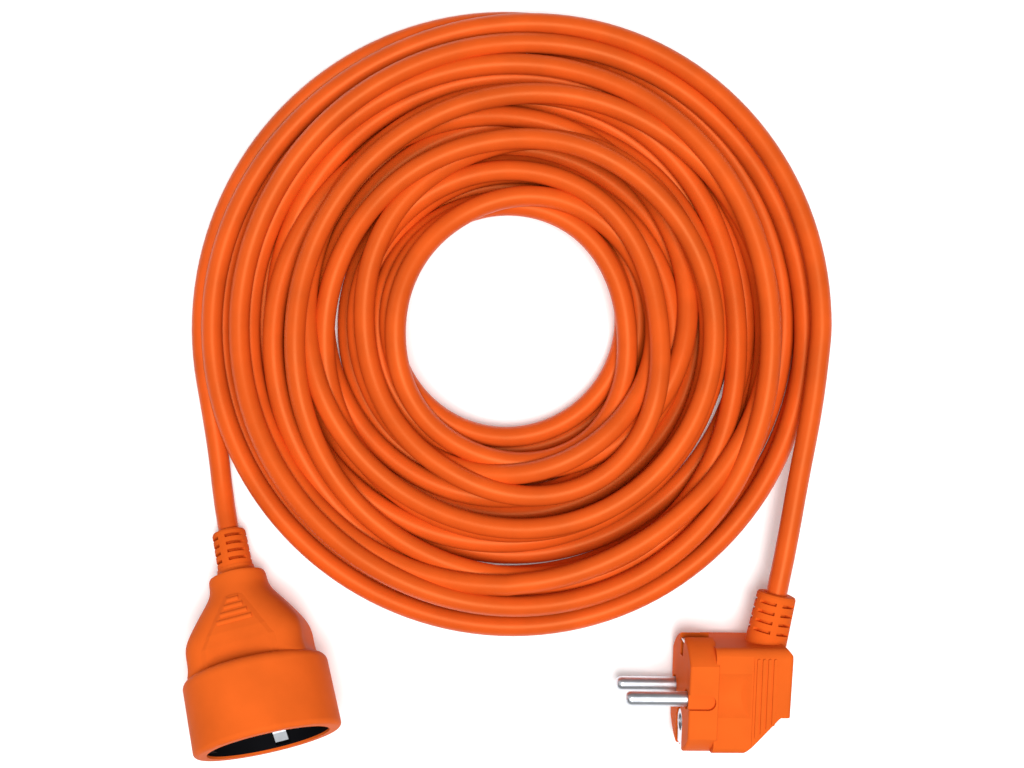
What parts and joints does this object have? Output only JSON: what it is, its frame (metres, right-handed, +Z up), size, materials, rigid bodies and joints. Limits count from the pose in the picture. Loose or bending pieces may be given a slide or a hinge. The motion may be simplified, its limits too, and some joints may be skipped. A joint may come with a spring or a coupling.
{
  "type": "coiled extension cord",
  "caption": "Earthed mains extension cord wound into a flat open coil, with an angled two-pin plug on one end and a round trailing socket on the other.",
  "frame": {"origin": "on the floor the cord lies on, at the bottom centre of the box around the plug and the coupler", "axes": "+Z up; +X from the coupler to the plug, along the longest side of that box; +Y towards the coil"},
  "size_m": [0.213, 0.2493, 0.0512],
  "materials": {
    "orange_plastic": "satin moulded",
    "orange_soft": "satin soft moulded",
    "cord_sheath": "satin",
    "black_plastic": "satin moulded",
    "nickel": "bright nickel plate",
    "spring_brass": "stamped",
    "core_brown": "satin",
    "core_blue": "satin",
    "core_earth": "satin, green and yellow",
    "copper": "stranded bare copper"
  },
  "bodies": {
    "cord_set": {"cord_coil": "cord_sheath", "cord_tail_coupler": "cord_sheath", "cord_tail_plug": "cord_sheath", "coupler_body": "orange_plastic", "coupler_conductor_earth": "copper", "coupler_conductor_live": "copper", "coupler_conductor_neutral": "copper", "coupler_contact_live": "spring_brass", "coupler_contact_neutral": "spring_brass", "coupler_core_earth": "core_earth", "coupler_core_live": "core_brown", "coupler_core_neutral": "core_blue", "coupler_earth_bow": "spring_brass", "coupler_insert": "black_plastic", "coupler_rear_cover": "black_plastic", "coupler_strain_relief": "orange_soft", "plug_body": "orange_plastic", "plug_bridge": "black_plastic", "plug_conductor_earth": "copper", "plug_conductor_live": "copper", "plug_conductor_neutral": "copper", "plug_core_earth": "core_earth", "plug_core_live": "core_brown", "plug_core_neutral": "core_blue", "plug_earth_bracket": "nickel", "plug_earth_sleeve": "nickel", "plug_pin_live": "nickel", "plug_pin_neutral": "nickel", "plug_strain_relief": "orange_soft"},
    "earth_clip_upper": {"coupler_earth_clip_upper": "nickel"},
    "earth_clip_lower": {"coupler_earth_clip_lower": "nickel"}
  },
  "joints": [
    {"name": "earth_clip_upper_spring", "type": "hinge", "parent": "cord_set", "child": "earth_clip_upper", "pos_m": [-0.07771, -0.00523, 0.04132], "axis": [-0.9636, -0.2628, -0.0496], "range_deg": [0, 4.5], "stiffness_Nm_per_rad": 1},
    {"name": "earth_clip_lower_spring", "type": "hinge", "parent": "cord_set", "child": "earth_clip_lower", "pos_m": [-0.07273, -0.01658, 0.00477], "axis": [0.9636, 0.2628, 0.0496], "range_deg": [0, 4.5], "stiffness_Nm_per_rad": 1}
  ]
}
